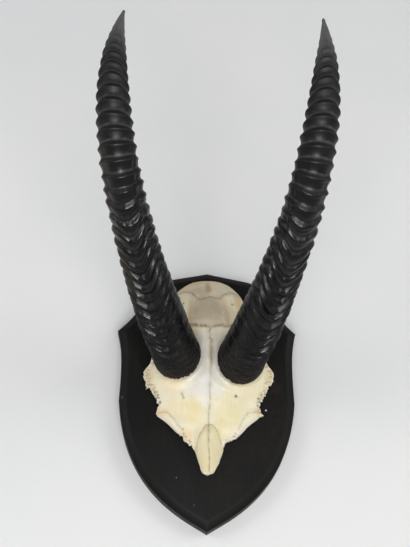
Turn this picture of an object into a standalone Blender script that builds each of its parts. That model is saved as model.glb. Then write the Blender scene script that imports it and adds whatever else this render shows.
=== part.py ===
"""A roan antelope's skull cap with its horns, on a shield-shaped board.

The mount lies on its back: the board's back is at z = 0, +Z points out of the board's face and +Y
towards the board's top, over which the horns curve back. +X is the right-hand side seen from the
front. Lengths are in metres, and MM turns a value in millimetres into metres.
"""
import math

import bmesh
import bpy
from mathutils import Vector
from mathutils.geometry import delaunay_2d_cdt

MM = 0.001

# Clearance between pieces that touch.
GAP = 0.3 * MM

# Board: a shield with a chamfered front edge. Its outline is the right half, from the point at the
# top to the point at the bottom.
BOARD_THICKNESS = 24 * MM
CHAMFER_WIDTH = 9.5 * MM
CHAMFER_DEPTH = 5 * MM
BOARD_TOP = (0.0, 178.5 * MM)
BOARD_EAR = (62.5 * MM, 165.5 * MM)
BOARD_SHOULDER = (120 * MM, 89.5 * MM)
BOARD_BELLY = (114.8 * MM, -10 * MM)
BOARD_BOTTOM = (0.0, -178.5 * MM)
EAR_ROUNDING = 4 * MM
EAR_CURVE = ((84 * MM, 133 * MM), (102 * MM, 105 * MM))
WAIST_CURVE = ((111.5 * MM, 60 * MM), (113.5 * MM, 22 * MM))
LOWER_CURVE = ((104.3 * MM, -128.9 * MM), (29.2 * MM, -159.8 * MM))

# Skull cap: height of its middle line over the board's back, front to rear.
RIDGE_LINE = (
    (-112, 33), (-85, 38), (-50, 45), (-12, 54), (15, 61), (40, 69.5), (73, 77), (100, 75), (127, 66),
    (145, 52), (161, 34),
)
# How far the surface falls from that line (drop), at how far from it (reach), front to rear.
SIDE_DROP = ((-112, 6), (-80, 6), (-66, 9), (-40, 13), (15, 12), (60, 20), (110, 30), (145, 20), (161, 8))
SIDE_REACH = ((-112, 15), (-80, 22), (-66, 50), (-40, 72), (15, 85), (60, 60), (95, 44), (125, 50), (161, 34))
SIDE_POWER = 2.2
# The nasal bones stand as a rounded tongue between the cheek plates.
NASAL_HALF_WIDTH = 17 * MM
NASAL_RISE = 3.5 * MM
NASAL_REAR = -48 * MM
NASAL_FADE = 14 * MM
PLATE_THICKNESS = 4 * MM
# Half width of the brain case and the orbits' inner walls, which stand on the board.
CORE_HALF_WIDTH = (
    (-64, 0), (-50, 20), (-20, 29), (10, 33), (40, 35), (75, 32), (92, 31), (110, 34), (125, 42), (140, 35),
    (152, 22), (160, 6),
)
GRID_STEP = 7.2 * MM

# Outline of the skull cap, anticlockwise from the nasal tip, in millimetres. The front follows the
# saw cut and the worn rims of the orbits, which differ left and right.
SKULL_OUTLINE = (
    (0, -111.2), (6.5, -109.6), (10, -105), (16.6, -89.7), (19.5, -79), (24.3, -69), (33.4, -67.5),
    (43.8, -57), (57, -43.3), (71.6, -33.1), (67.6, -28.5), (67, -20), (71.5, -13.9), (76.8, -2.6),
    (84.6, 10), (85.9, 17.6), (82, 24), (75, 30), (74.5, 44), (69, 58), (59, 68.5), (47, 75), (38.5, 82),
    (39, 94), (44, 108), (48.2, 123), (45.5, 132), (37.2, 143.5), (26.4, 153.8), (14, 158.6), (1.2, 160),
    (-13, 158.2), (-25.5, 153.4), (-37, 144), (-46, 132), (-48, 122), (-39, 108), (-36, 94), (-38.5, 82),
    (-47, 75), (-59, 68.5), (-69, 59), (-74, 46), (-72.5, 31), (-83, 19.5), (-83.8, 12.9), (-80.6, 6.7),
    (-79.7, -3.8), (-75.8, -1.8), (-70.4, -9.2), (-65, -18.9), (-63.4, -27.6), (-66.6, -34.9),
    (-56, -42.6), (-42.8, -54.3), (-31.2, -66), (-20.7, -76.2), (-15.5, -79.5), (-14.2, -87.6),
    (-9.6, -98.9), (-8.4, -105.5), (-5.4, -110),
)

# Horns. The seat on the forehead is a flat round, sloping out and forwards.
SEAT_RADIUS = 32.5 * MM
SEAT_SIDES = 20
SEAT_BLEND = 12 * MM
SEAT_SLOPE_OUT = -0.20
SEAT_SLOPE_UP = 0.16
HORN_LENGTH = 494 * MM
# Radius along the horn, as (share of the length, millimetres).
HORN_RADIUS = (
    (0, 30.6), (0.08, 28.9), (0.2, 27.3), (0.4, 23.7), (0.6, 21.1), (0.75, 17.9), (0.87, 11.8), (0.95, 5.4),
    (0.985, 2.2),
)
HORN_SIDES = 14
# Place of the first groove, spacing of the rings, as (share of the length, millimetres), and where
# the smooth tip starts.
FIRST_GROOVE = 8.5 * MM
RING_SPACING = (
    (0, 15.5), (0.2, 15.4), (0.28, 13.6), (0.36, 13.8), (0.45, 15.4), (0.52, 15.6), (0.6, 15.0), (0.7, 14.2),
    (0.78, 12.9), (0.86, 12), (0.94, 11.3),
)
RINGS_END = 0.9
RING_STEPS = (0.0, 0.32, 0.7)
# Depth of the grooves between the rings, and how far the rings lean towards the tip at the front
# and on the horn's inner side, as (share of the length, millimetres).
RING_DEPTH = ((0, 1.0), (0.12, 1.6), (0.3, 2.2), (0.45, 2.8), (0.7, 3.0), (0.85, 2.3), (0.9, 1.2), (0.94, 0))
FRONT_LEAN = ((0, 0), (0.42, 0), (0.55, 2), (0.62, 3.5), (0.7, 6.5), (0.85, 7.5), (1, 0))
INNER_LEAN = ((0, 0), (0.12, 2.5), (0.36, 2.5), (0.54, 0.5), (0.7, -1), (0.85, -1.5), (1, 0))
TIP_STEPS = (0.25, 0.5, 0.72, 0.88, 0.97)
BASE_BLEND = 75 * MM
CURVE_STEPS = 240

# Each horn's base centre, and its direction at the base, the middle and the tip: rise is the angle
# from the board's plane, swing the angle from +Y towards the horn's own side, both in degrees.
HORNS = {
    "left_horn": {"side": -1, "base": (-40.3 * MM, 36.7 * MM, 62 * MM), "rise": (73.4, 49.0, -14.0),
                  "swing": (60.5, 19.9, -10.3), "seed": 0.7},
    "right_horn": {"side": 1, "base": (40.5 * MM, 31.1 * MM, 62 * MM), "rise": (78.0, 53.6, -9.4),
                   "swing": (58.9, 19.9, -2.1), "seed": 2.3},
}


def smooth_through(points):
    """A smooth curve through the points, as a function; flat beyond both ends."""
    slopes = []
    last = len(points) - 1
    for i in range(last + 1):
        before = points[max(i - 1, 0)]
        after = points[min(i + 1, last)]
        slopes.append((after[1] - before[1]) / (after[0] - before[0]))

    def value(x):
        if x <= points[0][0]:
            return points[0][1]
        for i in range(last):
            x0, y0 = points[i]
            x1, y1 = points[i + 1]
            if x <= x1:
                width = x1 - x0
                u = (x - x0) / width
                return ((1 + 2 * u) * (1 - u) ** 2 * y0 + u * (1 - u) ** 2 * width * slopes[i]
                        + u * u * (3 - 2 * u) * y1 + u * u * (u - 1) * width * slopes[i + 1])
        return points[last][1]

    return value


def smoothstep(low, high, x):
    """0 below low, 1 above high, and a smooth change between them."""
    u = min(max((x - low) / (high - low), 0.0), 1.0)
    return u * u * (3 - 2 * u)


def bezier(start, controls, end, steps):
    """Points on a cubic Bezier curve, without its end."""
    points = []
    for i in range(steps):
        u = i / steps
        weights = ((1 - u) ** 3, 3 * u * (1 - u) ** 2, 3 * u * u * (1 - u), u ** 3)
        corners = (start, controls[0], controls[1], end)
        points.append(tuple(sum(w * c[axis] for w, c in zip(weights, corners)) for axis in (0, 1)))
    return points


def make_material(name, color, roughness):
    """A plain Principled material."""
    material = bpy.data.materials.new(name)
    material.use_nodes = True
    shader = material.node_tree.nodes["Principled BSDF"]
    shader.inputs["Base Color"].default_value = (*color, 1.0)
    shader.inputs["Roughness"].default_value = roughness
    shader.inputs["Metallic"].default_value = 0.0
    return material


def make_object(name, bm, material, smooth_angle):
    """A scene object from a bmesh, shaded smooth up to an angle in degrees."""
    bmesh.ops.recalc_face_normals(bm, faces=bm.faces)
    mesh = bpy.data.meshes.new(name)
    bm.to_mesh(mesh)
    bm.free()
    mesh.materials.append(material)
    mesh.shade_smooth()
    mesh.set_sharp_from_angle(angle=math.radians(smooth_angle))
    result = bpy.data.objects.new(name, mesh)
    bpy.context.collection.objects.link(result)
    return result


def board_outline():
    """The whole outline, clockwise from the top point, and the indices of the two ear corners."""
    right = [BOARD_TOP]
    right += bezier(BOARD_EAR, EAR_CURVE, BOARD_SHOULDER, 5)
    right += bezier(BOARD_SHOULDER, WAIST_CURVE, BOARD_BELLY, 7)
    right += bezier(BOARD_BELLY, LOWER_CURVE, BOARD_BOTTOM, 13)
    right.append(BOARD_BOTTOM)
    left = [(-x, y) for x, y in reversed(right[1:-1])]
    outline = right + left
    return outline, (1, len(outline) - 1)


def inset_corner(before, corner, after, distance):
    """Where a corner of a clockwise outline lands when the outline shrinks by a distance."""
    first = (Vector(corner) - Vector(before)).normalized()
    second = (Vector(after) - Vector(corner)).normalized()
    inward_first = Vector((first.y, -first.x))
    inward_second = Vector((second.y, -second.x))
    middle = (inward_first + inward_second).normalized()
    return Vector(corner) + middle * (distance / middle.dot(inward_first))


def build_shield(material):
    """The board: straight sides, a chamfer round the front and small round ears."""
    outline, ears = board_outline()
    count = len(outline)
    outer, inner = [], []
    for i, corner in enumerate(outline):
        before, after = outline[i - 1], outline[(i + 1) % count]
        inset = inset_corner(before, corner, after, CHAMFER_WIDTH)
        if i in ears:
            start = Vector(corner) + (Vector(before) - Vector(corner)).normalized() * EAR_ROUNDING
            end = Vector(corner) + (Vector(after) - Vector(corner)).normalized() * EAR_ROUNDING
            for u in (0.0, 0.5, 1.0):
                outer.append((1 - u) ** 2 * start + 2 * u * (1 - u) * Vector(corner) + u * u * end)
                inner.append(inset)
        else:
            outer.append(Vector(corner))
            inner.append(inset)
    bm = bmesh.new()
    levels = ((outer, 0.0), (outer, BOARD_THICKNESS - CHAMFER_DEPTH), (inner, BOARD_THICKNESS))
    rings = [[bm.verts.new((p.x, p.y, z)) for p in points] for points, z in levels]
    for lower, upper in zip(rings, rings[1:]):
        for i in range(len(lower)):
            j = (i + 1) % len(lower)
            bm.faces.new((lower[i], lower[j], upper[j], upper[i]))
    bm.faces.new(rings[0])
    bm.faces.new(rings[-1])
    bmesh.ops.remove_doubles(bm, verts=bm.verts, dist=0.01 * MM)
    return make_object("shield", bm, material, 15)


def seat_height(horn, x, y):
    """Height of a horn's flat seat, carried on as a plane."""
    base = horn["base"]
    return base[2] + SEAT_SLOPE_OUT * (x - base[0]) * horn["side"] + SEAT_SLOPE_UP * (y - base[1])


def make_skull_height():
    """The height of the skull's upper surface, as a function of x and y."""
    ridge = smooth_through(RIDGE_LINE)
    drop = smooth_through(SIDE_DROP)
    reach = smooth_through(SIDE_REACH)

    def height(x, y):
        y_mm = y / MM
        out = abs(x) / MM / reach(y_mm)
        z = (ridge(y_mm) - drop(y_mm) * out ** SIDE_POWER) * MM
        tongue = max(0.0, 1 - (x / NASAL_HALF_WIDTH) ** 2)
        z += NASAL_RISE * (tongue - 0.5) * smoothstep(NASAL_REAR, NASAL_REAR - NASAL_FADE, y) * (out < 1)
        for horn in HORNS.values():
            away = math.hypot(x - horn["base"][0], y - horn["base"][1])
            on_seat = 1 - smoothstep(SEAT_RADIUS + 0.1 * MM, SEAT_RADIUS + SEAT_BLEND, away)
            z += (seat_height(horn, x, y) - z) * on_seat
        return z

    return height


def subdivide_outline(points, longest):
    """The same outline with points added on its long edges."""
    result = []
    for i, start in enumerate(points):
        end = points[(i + 1) % len(points)]
        pieces = max(1, math.ceil((end - start).length / longest))
        result += [start.lerp(end, k / pieces) for k in range(pieces)]
    return result


def distance_to_outline(point, outline):
    """Shortest distance from a point to a closed outline."""
    shortest = math.inf
    for i, start in enumerate(outline):
        along = outline[(i + 1) % len(outline)] - start
        u = min(max((point - start).dot(along) / along.length_squared, 0.0), 1.0)
        shortest = min(shortest, (point - start - along * u).length)
    return shortest


def inside_outline(point, outline):
    """Whether a point is inside a closed outline, by counting crossings."""
    inside = False
    for i, a in enumerate(outline):
        b = outline[(i + 1) % len(outline)]
        if (a.y > point.y) != (b.y > point.y):
            if point.x < a.x + (point.y - a.y) / (b.y - a.y) * (b.x - a.x):
                inside = not inside
    return inside


def skull_plan():
    """The skull's plan as triangles: its outline, the two seats' rims and an even grid between."""
    outline = subdivide_outline([Vector(p) * MM for p in SKULL_OUTLINE], GRID_STEP * 1.25)
    points = list(outline)
    edges = []
    for horn in HORNS.values():
        centre = Vector(horn["base"][:2])
        first = len(points)
        for k in range(SEAT_SIDES):
            angle = 2 * math.pi * k / SEAT_SIDES
            points.append(centre + SEAT_RADIUS * Vector((math.cos(angle), math.sin(angle))))
            edges.append((first + k, first + (k + 1) % SEAT_SIDES))
    fixed = list(points)
    row_step = GRID_STEP * math.sqrt(3) / 2
    for row in range(-17, 25):
        for column in range(-14, 15):
            point = Vector(((column + 0.5 * (row % 2)) * GRID_STEP, row * row_step))
            if not inside_outline(point, outline):
                continue
            if distance_to_outline(point, outline) < 0.45 * GRID_STEP:
                continue
            if min((point - other).length for other in fixed) > 0.55 * GRID_STEP:
                points.append(point)
    border = list(range(len(outline)))
    plan = delaunay_2d_cdt(points, edges, [border], 1, 1e-7)
    return plan[0], plan[2], len(outline)


def build_skull(material, height):
    """The bone: two height fields on one plan, joined round the outline."""
    core = smooth_through(CORE_HALF_WIDTH)
    points, triangles, border_count = skull_plan()
    bm = bmesh.new()
    upper, lower = [], []
    for p in points:
        top = height(p.x, p.y)
        half = core(p.y / MM) * MM if -64 < p.y / MM < 160 else 0.0
        stands = 1 - smoothstep(half - 2 * MM, half + 3 * MM, abs(p.x))
        under = top - PLATE_THICKNESS
        under += (BOARD_THICKNESS + GAP - under) * stands
        upper.append(bm.verts.new((p.x, p.y, top)))
        lower.append(bm.verts.new((p.x, p.y, max(under, BOARD_THICKNESS + GAP))))
    for a, b, c in triangles:
        bm.faces.new((upper[a], upper[b], upper[c]))
        bm.faces.new((lower[c], lower[b], lower[a]))
    for i in range(border_count):
        j = (i + 1) % border_count
        bm.faces.new((lower[i], lower[j], upper[j], upper[i]))
    return make_object("skull_cap", bm, material, 40)


def horn_centre_line(horn):
    """Points and directions along a horn, at even steps from its base to its tip."""
    def at(values, t):
        start, middle, end = values
        return start * (1 - t) * (1 - 2 * t) + middle * 4 * t * (1 - t) + end * t * (2 * t - 1)

    points = [Vector(horn["base"])]
    directions = []
    for i in range(CURVE_STEPS + 1):
        rise = math.radians(at(horn["rise"], i / CURVE_STEPS))
        swing = math.radians(at(horn["swing"], i / CURVE_STEPS)) * horn["side"]
        level = math.cos(rise)
        directions.append(Vector((level * math.sin(swing), level * math.cos(swing), math.sin(rise))))
    for before, after in zip(directions, directions[1:]):
        points.append(points[-1] + (before + after) * 0.5 * HORN_LENGTH / CURVE_STEPS)
    return points, directions


def build_horn(name, horn, material):
    """A horn: a tapering tube with its rings, cut at the base to lie along its seat."""
    line, directions = horn_centre_line(horn)
    radius = smooth_through(HORN_RADIUS)
    depth = smooth_through(RING_DEPTH)
    front_lean = smooth_through(FRONT_LEAN)
    inner_lean = smooth_through(INNER_LEAN)
    spacing = smooth_through(RING_SPACING)
    seed = horn["seed"]

    def centre(along):
        step = min(max(along / HORN_LENGTH, 0.0), 1.0) * CURVE_STEPS
        i = min(int(step), CURVE_STEPS - 1)
        point = line[i].lerp(line[i + 1], step - i)
        if along < 0:
            point = line[0] + directions[0] * along
        return point, directions[i].lerp(directions[i + 1], step - i).normalized()

    def across(along, angle):
        direction = centre(along)[1]
        side = (Vector((1, 0, 0)) - direction * direction.x).normalized()
        return side * math.cos(angle) + direction.cross(side) * math.sin(angle)

    def seat_shift(angle):
        """How far along the axis a base point moves to lie just over the seat."""
        point = centre(0.0)[0] + across(0.0, angle) * radius(0.0) * MM
        wanted = seat_height(horn, point.x, point.y) + GAP
        direction = directions[0]
        climb = (direction.z - SEAT_SLOPE_OUT * direction.x * horn["side"] - SEAT_SLOPE_UP * direction.y)
        return (wanted - point.z) / climb

    def ring(number, along, groove):
        share = along / HORN_LENGTH
        verts = []
        for k in range(HORN_SIDES):
            angle = 2 * math.pi * k / HORN_SIDES
            inner, front = -math.cos(angle) * horn["side"], -math.sin(angle)
            lean = (front_lean(share) * front + inner_lean(share) * inner) * MM
            moved = along + lean * min(1.0, along / BASE_BLEND)
            size = radius(moved / HORN_LENGTH) * MM - depth(share) * MM * (groove - 0.45)
            ripple = 1 + 0.007 * depth(share) * math.sin(3 * angle + 1.9 * number + seed) * min(1.0, 6 * share)
            moved += seat_shift(angle) * max(0.0, 1 - along / BASE_BLEND) ** 2
            verts.append(bm.verts.new(centre(moved)[0] + across(moved, angle) * size * ripple))
        return verts

    bm = bmesh.new()
    rings = []
    number, groove_at = 0, 0.0
    while groove_at < RINGS_END * HORN_LENGTH:
        pitch = spacing(groove_at / HORN_LENGTH) * MM if number else FIRST_GROOVE
        for step in RING_STEPS:
            groove = 0.45 if number + step == 0 else 1.0 if step == 0 else 0.0
            rings.append(ring(number, groove_at + step * pitch, groove))
        groove_at += pitch
        number += 1
    for share in TIP_STEPS:
        rings.append(ring(number, groove_at + share * (HORN_LENGTH - groove_at), 0.0))
    for lower, upper in zip(rings, rings[1:]):
        for i in range(HORN_SIDES):
            j = (i + 1) % HORN_SIDES
            bm.faces.new((lower[i], lower[j], upper[j], upper[i]))
    bm.faces.new(rings[0])
    point = bm.verts.new(centre(HORN_LENGTH)[0])
    for i in range(HORN_SIDES):
        bm.faces.new((rings[-1][i], rings[-1][(i + 1) % HORN_SIDES], point))
    return make_object(name, bm, material, 60)


def main():
    """Clear the scene and build the four pieces."""
    for existing in list(bpy.data.objects):
        bpy.data.objects.remove(existing)
    wood = make_material("black_wood", (0.018, 0.017, 0.016), 0.5)
    bone = make_material("bone", (0.78, 0.72, 0.58), 0.6)
    keratin = make_material("horn", (0.022, 0.021, 0.020), 0.35)
    build_shield(wood)
    build_skull(bone, make_skull_height())
    for name, horn in HORNS.items():
        build_horn(name, horn, keratin)


main()
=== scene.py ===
"""The looks of a roan antelope skull mount: bone, ringed horns and a black board, on a pale floor.

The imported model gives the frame: the board's back is at z = 0, +Z points out of its face and +Y
towards the horns' tips. Lengths are in metres, and MM turns a value in millimetres into metres.
"""
import itertools
import math
from types import SimpleNamespace

import bpy
import numpy as np
from mathutils import Matrix, Vector
from mathutils.geometry import delaunay_2d_cdt


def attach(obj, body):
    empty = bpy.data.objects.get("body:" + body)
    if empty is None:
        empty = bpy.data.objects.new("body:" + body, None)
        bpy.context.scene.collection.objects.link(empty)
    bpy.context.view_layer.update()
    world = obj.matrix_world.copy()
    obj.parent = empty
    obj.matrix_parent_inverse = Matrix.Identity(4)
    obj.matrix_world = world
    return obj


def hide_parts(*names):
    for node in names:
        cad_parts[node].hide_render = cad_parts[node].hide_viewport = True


MM = 0.001
# The gap left between pieces that rest on each other.
GAP = 0.3 * MM

# Camera: place, and turns about Z, then X, then Z again, in degrees. LENS is in millimetres.
CAMERA_PLACE = (-0.060, -0.4715, 1.2481)
CAMERA_TURNS = (-5.02, 28.0, 5.74)
LENS = 65.81
# Area lights, all turned to LIGHT_TARGET: place, size in metres, power in watts, and whether they show in
# reflections and light matte surfaces.
LIGHT_TARGET = (0, 0.1, 0.1)
LIGHTS = {
    "front": {"place": (0.0, -1.7, 2.3), "size": (2.2, 1.6), "power": 44, "glossy": False, "diffuse": True},
    "left": {"place": (-2.3, 0.3, 1.7), "size": (1.5, 1.5), "power": 20, "glossy": True, "diffuse": True},
    "right": {"place": (2.3, 0.3, 1.7), "size": (1.5, 1.5), "power": 26, "glossy": True, "diffuse": True},
    "overhead": {"place": (0.0, -0.2, 2.1), "size": (0.3, 0.3), "power": 9, "glossy": True, "diffuse": False},
    "below": {"place": (0.0, -1.1, 2.1), "size": (0.8, 0.6), "power": 55, "glossy": True, "diffuse": False},
}
# The surround's colours at the horizon and overhead, the height of a direction where the second begins, and
# its strength.
SURROUND_LOW = (0.85, 0.86, 0.88, 1)
SURROUND_HIGH = (0.20, 0.205, 0.215, 1)
SURROUND_TOP = 0.9
SURROUND_STRENGTH = 0.8
# The floor reaches this far each way, and lies this much under the board's back.
FLOOR_REACH = 9
FLOOR_DROP = 0.2 * MM

# Board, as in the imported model.
BOARD_THICKNESS = 24 * MM
CHAMFER_WIDTH = 9.5
CHAMFER_DEPTH = 5.0
BOARD_TOP = (0.0, 178.5)
BOARD_EAR = (62.5, 165.5)
BOARD_SHOULDER = (120, 89.5)
BOARD_BELLY = (114.8, -10)
BOARD_BOTTOM = (0.0, -178.5)
EAR_ROUNDING = 4.0
EAR_CURVE = ((84, 133), (102, 105))
WAIST_CURVE = ((111.5, 60), (113.5, 22))
LOWER_CURVE = ((104.3, -128.9), (29.2, -159.8))
# Steps on each run of the board's outline, from its top point to its bottom point.
BOARD_STEPS = (24, 30, 40, 80)
# Marks on the board's face: centre and radius in millimetres, strength and colour.
BOARD_MARKS = (
    ((76.3, -22.1), 1.3, 0.9, (225, 222, 215)), ((-38.6, -112.6), 0.9, 0.5, (150, 145, 135)),
    ((-16.3, -147), 0.8, 0.4, (150, 145, 135)), ((-110.7, -6.3), 2.2, 0.25, (110, 100, 90)),
    ((90.3, 7.9), 8.0, 0.25, (52, 34, 26)),
)

# Skull cap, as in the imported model: its middle line's height, and how its sides fall away.
RIDGE_LINE = (
    (-112, 33), (-85, 38), (-50, 45), (-12, 54), (15, 61), (40, 69.5), (73, 77), (100, 75), (127, 66),
    (145, 52), (161, 34),
)
SIDE_DROP = ((-112, 6), (-80, 6), (-66, 9), (-40, 13), (15, 12), (60, 20), (110, 30), (145, 20), (161, 8))
SIDE_REACH = ((-112, 15), (-80, 22), (-66, 50), (-40, 72), (15, 85), (60, 60), (95, 44), (125, 50), (161, 34))
SIDE_POWER = 2.2
NASAL_HALF_WIDTH = 17
NASAL_RISE = 3.5
NASAL_REAR = -48
NASAL_FADE = 14
PLATE_THICKNESS = 4.0
CORE_HALF_WIDTH = (
    (-64, 0), (-50, 20), (-20, 29), (10, 33), (40, 35), (75, 32), (92, 31), (110, 34), (125, 42), (140, 35),
    (152, 22), (160, 6),
)
# The bone's outline on the plan, anticlockwise from the nasals' tip.
SKULL_OUTLINE = (
    (0, -111.2), (6.5, -109.6), (10, -105), (16.6, -89.7), (19.5, -79), (24.3, -69), (33.4, -67.5),
    (43.8, -57), (57, -43.3), (71.6, -33.1), (67.6, -28.5), (67, -20), (71.5, -13.9), (76.8, -2.6),
    (84.6, 10), (85.9, 17.6), (82, 24), (75, 30), (74.5, 44), (69, 58), (59, 68.5), (47, 75), (38.5, 82),
    (39, 94), (44, 108), (48.2, 123), (45.5, 132), (37.2, 143.5), (26.4, 153.8), (14, 158.6), (1.2, 160),
    (-13, 158.2), (-25.5, 153.4), (-37, 144), (-46, 132), (-48, 122), (-39, 108), (-36, 94), (-38.5, 82),
    (-47, 75), (-59, 68.5), (-69, 59), (-74, 46), (-72.5, 31), (-83, 19.5), (-83.8, 12.9), (-80.6, 6.7),
    (-79.7, -3.8), (-75.8, -1.8), (-70.4, -9.2), (-65, -18.9), (-63.4, -27.6), (-66.6, -34.9),
    (-56, -42.6), (-42.8, -54.3), (-31.2, -66), (-20.7, -76.2), (-15.5, -79.5), (-14.2, -87.6),
    (-9.6, -98.9), (-8.4, -105.5), (-5.4, -110),
)
# The skull's fine mesh, in millimetres: steps of its outline and of the grid inside, and the grid's reach.
OUTLINE_STEP = 0.6
SKULL_STEP = 1.15
SKULL_ROWS = (-114, 162)
SKULL_COLUMNS = (-88, 88)
# Corners of the outline that turn by more than this many degrees stay sharp.
SHARP_TURN = 50

# Seams between the skull's bones, seen from above, in millimetres.
MIDLINE = (
    (0.4, 70.5), (1.5, 68.9), (-0.3, 64.4), (2.3, 61.5), (0.9, 57), (3.8, 54.2), (1.7, 49.1), (2.5, 41.8),
    (2.6, 34), (3.4, 26.3), (1.8, 15.1), (2.1, 3.7), (1.6, -7), (2.9, -18.8), (1.2, -30.6), (1, -40),
    (0.8, -49.4), (0.6, -59.2), (0.9, -71), (1.6, -82.7), (2.1, -94.3), (2, -108),
)
NASAL_SEAMS = (
    ((0.8, -48.5), (-2.8, -50.1), (-6.4, -54.3), (-8.8, -59.1), (-11.3, -63.6), (-12.8, -68.2),
     (-13.9, -73.7), (-15, -81)),
    ((0.8, -48.5), (6.3, -49.9), (9.9, -53.9), (12, -57.3), (14, -62.9), (15.6, -67.4), (17.5, -72.9),
     (19.5, -80)),
)
LACRIMAL_SEAMS = (
    ((-66, -35), (-62.3, -33.4), (-52.6, -33), (-45.2, -39.2), (-40.2, -46.4), (-34, -53.5), (-30.3, -60.3)),
    ((70, -31), (64.7, -30), (50.9, -32.6), (46, -40), (42.3, -46.1), (39.3, -54.3)),
)
CORONAL_SEAM = (
    (-38, 80), (-30, 77), (-22.1, 74.7), (-15.5, 73.6), (-8.9, 72.8), (-2.2, 72.3), (1.5, 71.3), (6.7, 72.2),
    (11.9, 73.8), (17.2, 75.3), (20.2, 73.7), (25.6, 75.2), (38, 80),
)
LAMBDOID_SEAM = (
    (-48, 131), (-39.3, 133), (-31.8, 133.3), (-25.8, 129.9), (-21.3, 126.2), (-16.9, 118.3), (-11, 113.4),
    (-4.9, 116), (1.9, 118.7), (8, 116.7), (14.1, 115.6), (19, 123.5), (24.7, 128.3), (30.6, 133),
    (34.7, 133.5), (47, 130),
)
# Small holes: place, radius and depth, in millimetres.
HOLES = (
    ((35.3, -13.4), 1.5, 3.0), ((-33.3, 113.4), 1.2, 1.2), ((31.4, 112.4), 1.3, 1.6),
    ((35.1, -58.5), 0.8, 0.9), ((33.3, -62.0), 0.8, 0.9), ((-31.6, -54.7), 0.9, 0.9),
    ((-30.5, -60.3), 0.8, 0.9), ((-64, -12.1), 1.0, 1.6), ((-61.1, -20.9), 1.3, 2.0),
    ((-62.7, -15.7), 0.8, 1.2), ((64.6, -14), 1.2, 1.8), ((66.5, -17.5), 0.8, 1.2),
)
# A short scratch on the forehead, from end to end.
SCRATCH = ((-33.9, -10.3), (-31.1, -17.0))
# Patches of colour on the bone, laid one over the other: centre and radii in millimetres, strength and
# colour. The front ones are for the nasals and the forehead, the rear ones for the brain case.
FRONT_SPOTS = (
    ((1, 30), (20, 44), 0.8, (226, 222, 214)), ((-12, -8), (15, 15), 0.7, (232, 228, 220)),
    ((8, 2), (12, 20), 0.5, (226, 222, 208)), ((-46, 2), (16, 12), 0.5, (232, 208, 170)),
    ((-19, -34), (9, 20), 0.65, (230, 211, 146)), ((-34, -28), (12, 14), 0.5, (232, 214, 166)),
    ((24, -38), (16, 18), 0.55, (220, 208, 150)), ((-26, -62), (8, 8), 0.6, (228, 198, 142)),
    ((15, -52), (8, 12), 0.5, (222, 206, 140)), ((-60, -34), (9, 5), 0.7, (224, 190, 140)),
    ((64, -30), (9, 4), 0.6, (214, 184, 138)), ((-79, 12), (8, 13), 0.5, (196, 174, 126)),
    ((81, 14), (7, 12), 0.55, (200, 180, 132)), ((3, 62), (9, 10), 0.45, (196, 178, 142)),
    ((3.5, 40), (3.2, 15), 0.7, (176, 152, 108)), ((-14, 56), (7, 12), 0.35, (204, 190, 170)),
)
REAR_SPOTS = (
    ((-2, 99), (24, 21), 0.8, (160, 146, 124)), ((-3, 84), (20, 8), 0.6, (176, 162, 140)),
    ((0, 78), (22, 3.5), 0.5, (206, 193, 172)), ((-33, 112), (9, 20), 0.85, (216, 206, 172)),
    ((31, 115), (9, 13), 0.85, (222, 212, 180)), ((32, 94), (7, 12), 0.6, (214, 204, 174)),
    ((-24, 96), (2.4, 15), 0.6, (176, 150, 104)), ((25, 91), (3.2, 11), 0.6, (180, 152, 108)),
    ((40, 120), (6, 9), 0.7, (202, 172, 110)),
    ((-11, 131), (14, 8), 0.8, (176, 158, 136)), ((15, 132), (12, 9), 0.7, (200, 190, 164)),
    ((-15, 151), (18, 5), 0.85, (202, 170, 118)), ((14, 154), (12, 4), 0.7, (212, 188, 142)),
    ((-0.5, 137), (3.4, 12), 0.8, (158, 128, 82)), ((-32, 142), (8, 7), 0.6, (204, 178, 134)),
)

# Horns: their curves, thickness and rings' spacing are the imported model's. Pairs give a share of the
# length, then a value in millimetres unless a comment says otherwise.
SEAT_RADIUS = 32.5
SEAT_BLEND = 12
SEAT_SLOPE_OUT = -0.20
SEAT_SLOPE_UP = 0.16
HORN_LENGTH = 494 * MM
HORN_RADIUS = (
    (0, 30.6), (0.08, 28.9), (0.2, 27.3), (0.4, 23.7), (0.6, 21.1), (0.75, 17.9), (0.87, 11.8), (0.95, 5.4),
    (0.985, 2.2),
)
# The tip is rounded off beyond this share of the length.
TIP_ROUNDING = 0.985
FIRST_GROOVE = 8.5 * MM
RING_SPACING = (
    (0, 15.5), (0.2, 15.4), (0.28, 13.6), (0.36, 13.8), (0.45, 15.4), (0.52, 15.6), (0.6, 15.0), (0.7, 14.2),
    (0.78, 12.9), (0.86, 12), (0.94, 11.3),
)
# The last groove lies beyond this share of the length.
RINGS_END = 0.93
RING_DEPTH = (
    (0, 1.0), (0.12, 1.7), (0.3, 2.3), (0.45, 2.8), (0.7, 3.0), (0.85, 2.3), (0.9, 1.2), (0.93, 0.4),
    (0.96, 0),
)
# How far the rings lean towards the tip, at the horn's front and at its inner side.
FRONT_LEAN = ((0, 0), (0.42, 0), (0.55, 2), (0.62, 3.5), (0.7, 6.5), (0.85, 7.5), (1, 0))
INNER_LEAN = ((0, 0), (0.12, 2.5), (0.36, 2.5), (0.54, 0.5), (0.7, -1), (0.85, -1.5), (1, 0))
# How far the rings dip towards the base at the horn's front.
FRONT_DIP = ((0, 0), (0.05, 4), (0.12, 16), (0.36, 18), (0.46, 12), (0.56, 5), (0.66, 0), (1, 0))
# Where a ring's crest lies, as a share of the way from its lower groove to its upper one.
RING_CREST = ((0.3, 0.58), (0.5, 0.66), (0.65, 0.6), (0.8, 0.5), (0.9, 0.47))
# How blunt the pointed crests of the upper rings are, as a share of the way from groove to crest.
CREST_ROUNDING = 0.12
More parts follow.
